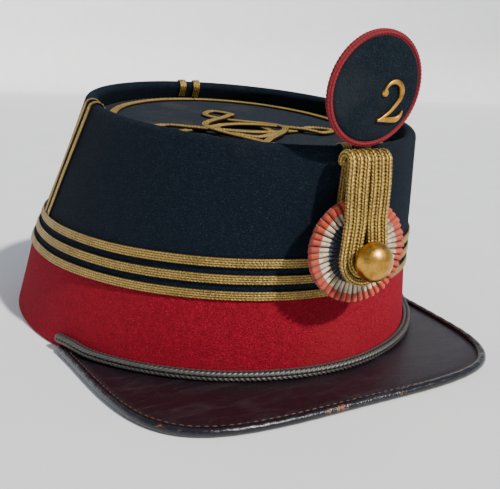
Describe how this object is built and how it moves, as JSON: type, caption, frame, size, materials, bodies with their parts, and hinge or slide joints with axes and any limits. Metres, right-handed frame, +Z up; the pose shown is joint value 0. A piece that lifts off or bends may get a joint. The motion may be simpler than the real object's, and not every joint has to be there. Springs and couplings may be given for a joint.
{
  "type": "kepi cap",
  "caption": "Stiff cloth cap with a straight-sided crown leaning forward, sunken top, square leather peak, level and upright braid, pleated cockade, cord loop, ball button and upright disc.",
  "frame": {"origin": "middle of the cap's box, on the plane that the cap stands on", "axes": "+Z up; -Y is the cap's front, where the peak is; +X is the wearer's left"},
  "size_m": [0.1722, 0.2316, 0.1159],
  "materials": {
    "band_cloth": "matt red woollen cloth",
    "crown_cloth": "matt dark blue woollen cloth",
    "gold_braid": "flat woven gold braid",
    "peak_leather": "worn black leather, half gloss",
    "seam_cord": "dark plaited cord",
    "cockade_ribbon": "pleated ribbon, red, white and dark blue from the edge inwards",
    "gold_cord": "plaited gold cord",
    "brass": "polished",
    "disc_felt": "dark blue felt",
    "disc_piping": "plaited red cord",
    "stem_leather": "plain dark strip"
  },
  "bodies": {
    "root": {"band": "band_cloth", "crown_wall": "crown_cloth", "crown_top": "crown_cloth", "braid_low": "gold_braid", "braid_middle": "gold_braid", "braid_high": "gold_braid", "upright_front_1": "gold_braid", "upright_front_2": "gold_braid", "upright_left_1": "gold_braid", "upright_left_2": "gold_braid", "upright_back_1": "gold_braid", "upright_back_2": "gold_braid", "upright_right_1": "gold_braid", "upright_right_2": "gold_braid", "top_ring": "gold_braid", "top_knot": "gold_braid", "peak": "peak_leather", "peak_edge": "peak_leather", "seam_cord": "seam_cord", "cockade": "cockade_ribbon", "loop_cord_inner": "gold_cord", "loop_cord_middle": "gold_cord", "loop_cord_outer": "gold_cord", "button": "brass", "disc": "disc_felt", "disc_piping": "disc_piping", "disc_stem": "stem_leather", "numeral": "brass"}
  },
  "joints": []
}
